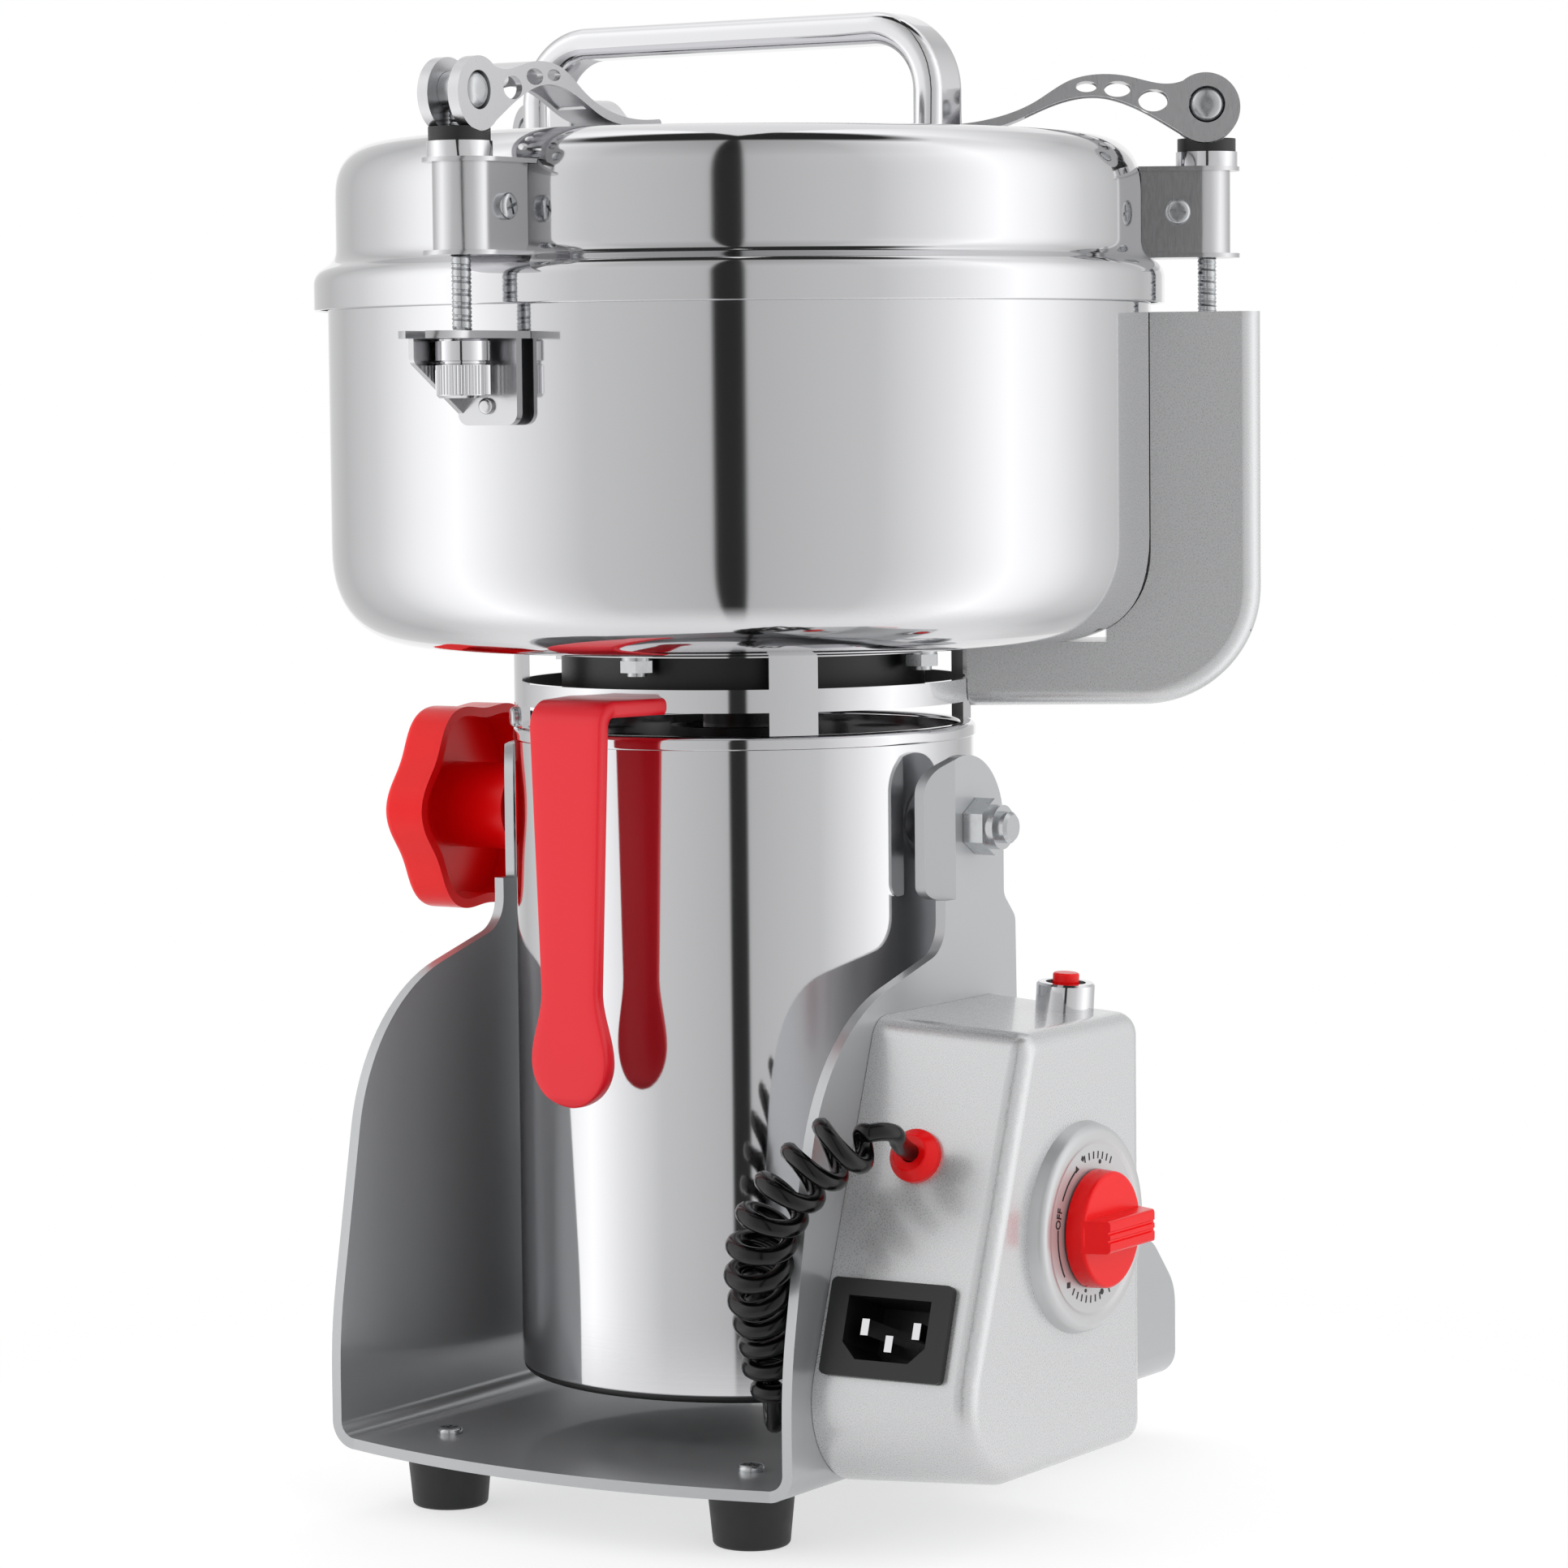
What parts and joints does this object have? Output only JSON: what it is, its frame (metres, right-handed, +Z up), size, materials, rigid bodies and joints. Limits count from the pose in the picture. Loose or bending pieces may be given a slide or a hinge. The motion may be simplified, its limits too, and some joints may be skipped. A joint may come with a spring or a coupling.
{
  "type": "electric grain mill",
  "caption": "Swing-type electric grain mill: polished bowl with clamped lid on a tilting motor, carried between the cheeks of a painted stand with a timer box.",
  "frame": {"origin": "on the floor under the mill's upright axis", "axes": "+Z up, -Y to the front, +X to the side with the timer box, the tilt axis along X"},
  "size_m": [0.2481, 0.2477, 0.377],
  "materials": {
    "frame_paint": "satin",
    "box_paint": "satin",
    "polished_steel": "mirror",
    "brushed_steel": "brushed",
    "chrome_plate": "polished",
    "zinc_screw": "satin",
    "red_plastic": "gloss",
    "black_plastic": "matte",
    "black_rubber": "matte",
    "cord_sheath": "satin",
    "dial_grey": "satin",
    "brass": "satin",
    "copper_wire": "gloss",
    "iron_stack": "matte",
    "seal_rubber": "satin"
  },
  "bodies": {
    "stand": {"base_frame": "frame_paint", "rubber_feet": "black_rubber", "frame_screws": "zinc_screw", "control_box": "box_paint", "inlet_body": "black_plastic", "inlet_pins": "chrome_plate", "box_grommet": "red_plastic", "timer_body": "black_plastic", "dial_plate": "dial_grey", "overload_body": "black_plastic", "overload_nut": "chrome_plate", "coiled_cord": "cord_sheath", "cord_leads": "cord_sheath"},
    "timer_dial": {"timer_knob": "red_plastic"},
    "button": {"reset_button": "red_plastic"},
    "tilt_knob": {"star_knob": "red_plastic", "star_stud": "zinc_screw"},
    "mill": {"motor_housing": "polished_steel", "housing_rim": "box_paint", "bottom_cap": "black_plastic", "stator_core": "iron_stack", "stator_coils": "copper_wire", "brush_holders": "brass", "bearing_plates": "black_plastic", "bearings": "chrome_plate", "insulator_disc": "black_plastic", "neck_ring": "box_paint", "neck_bolts": "zinc_screw", "bowl": "polished_steel", "shaft_seal": "seal_rubber", "handle_lever": "red_plastic", "switch_arm": "box_paint", "arm_cap": "box_paint", "lid_switch": "black_plastic", "lower_brackets": "brushed_steel", "pivot_bolt": "zinc_screw", "pivot_nut": "zinc_screw", "housing_grommet": "black_rubber"},
    "rotor": {"rotor_core": "iron_stack", "motor_shaft": "brushed_steel", "commutator": "copper_wire", "grinding_blades": "brushed_steel", "blade_spacers": "brushed_steel", "blade_nut": "brushed_steel"},
    "lid": {"lid": "polished_steel", "lid_seal": "seal_rubber", "lid_handle": "chrome_plate", "lid_screws": "zinc_screw", "clamp_brackets": "brushed_steel", "clamp_collars": "chrome_plate", "clamp_saddles": "black_plastic"},
    "bolt_front": {"clamp_bolt_front": "zinc_screw"},
    "lever_front": {"clamp_lever_front": "brushed_steel"},
    "bolt_right": {"clamp_bolt_right": "zinc_screw"},
    "lever_right": {"clamp_lever_right": "brushed_steel"},
    "bolt_left": {"clamp_bolt_left": "zinc_screw"},
    "lever_left": {"clamp_lever_left": "brushed_steel"},
    "nut_front": {"knurled_nut_front": "chrome_plate"},
    "nut_left": {"knurled_nut_left": "chrome_plate"}
  },
  "joints": [
    {"name": "tilt", "type": "hinge", "parent": "stand", "child": "mill", "pos_m": [0, 0, 0.1725], "axis": [1, 0, 0], "range_deg": [-90, 65], "deforming": ["coiled_cord", "cord_leads"]},
    {"name": "lid_lift", "type": "slide", "parent": "mill", "child": "lid", "axis": [0, 0, 1], "range_m": [0, 0.08]},
    {"name": "clamp_drop_front", "type": "slide", "parent": "lid", "child": "bolt_front", "axis": [0, 0, -1], "range_m": [0, 0.001]},
    {"name": "lever_front", "type": "hinge", "parent": "bolt_front", "child": "lever_front", "pos_m": [0, -0.12, 0.35405], "axis": [1, 0, 0], "range_deg": [0, 150]},
    {"name": "clamp_drop_right", "type": "slide", "parent": "lid", "child": "bolt_right", "axis": [0, 0, -1], "range_m": [0, 0.001]},
    {"name": "lever_right", "type": "hinge", "parent": "bolt_right", "child": "lever_right", "pos_m": [0.10392, 0.06, 0.35405], "axis": [-0.5, 0.866, 0], "range_deg": [0, 150]},
    {"name": "clamp_drop_left", "type": "slide", "parent": "lid", "child": "bolt_left", "axis": [0, 0, -1], "range_m": [0, 0.001]},
    {"name": "lever_left", "type": "hinge", "parent": "bolt_left", "child": "lever_left", "pos_m": [-0.10392, 0.06, 0.35405], "axis": [-0.5, -0.866, 0], "range_deg": [0, 150]},
    {"name": "nut_spin_front", "type": "hinge", "parent": "mill", "child": "nut_front", "pos_m": [0, -0.12, 0.288], "axis": [0, 0, 1], "continuous": true},
    {"name": "nut_spin_left", "type": "hinge", "parent": "mill", "child": "nut_left", "pos_m": [-0.10392, 0.06, 0.288], "axis": [0, 0, 1], "continuous": true},
    {"name": "motor_spin", "type": "hinge", "parent": "mill", "child": "rotor", "pos_m": [0, 0, 0.11], "axis": [0, 0, 1], "continuous": true},
    {"name": "tilt_knob_turn", "type": "hinge", "parent": "mill", "child": "tilt_knob", "pos_m": [-0.08, 0, 0.1725], "axis": [-1, 0, 0], "range_deg": [0, 720]},
    {"name": "timer_turn", "type": "hinge", "parent": "stand", "child": "timer_dial", "pos_m": [0.116, -0.022, 0.077], "axis": [-1, 0, 0], "range_deg": [0, 300]},
    {"name": "reset_press", "type": "slide", "parent": "stand", "child": "button", "axis": [-0.0565, 0, -0.9984], "range_m": [0, 0.002], "stiffness_N_per_m": 400, "springref_m": -0.0005}
  ],
  "couplings": [
    {"joint": "lever_front", "follows": "clamp_drop_front", "rad_per_m": 2605},
    {"joint": "lever_right", "follows": "clamp_drop_right", "rad_per_m": 2605},
    {"joint": "lever_left", "follows": "clamp_drop_left", "rad_per_m": 2605}
  ]
}
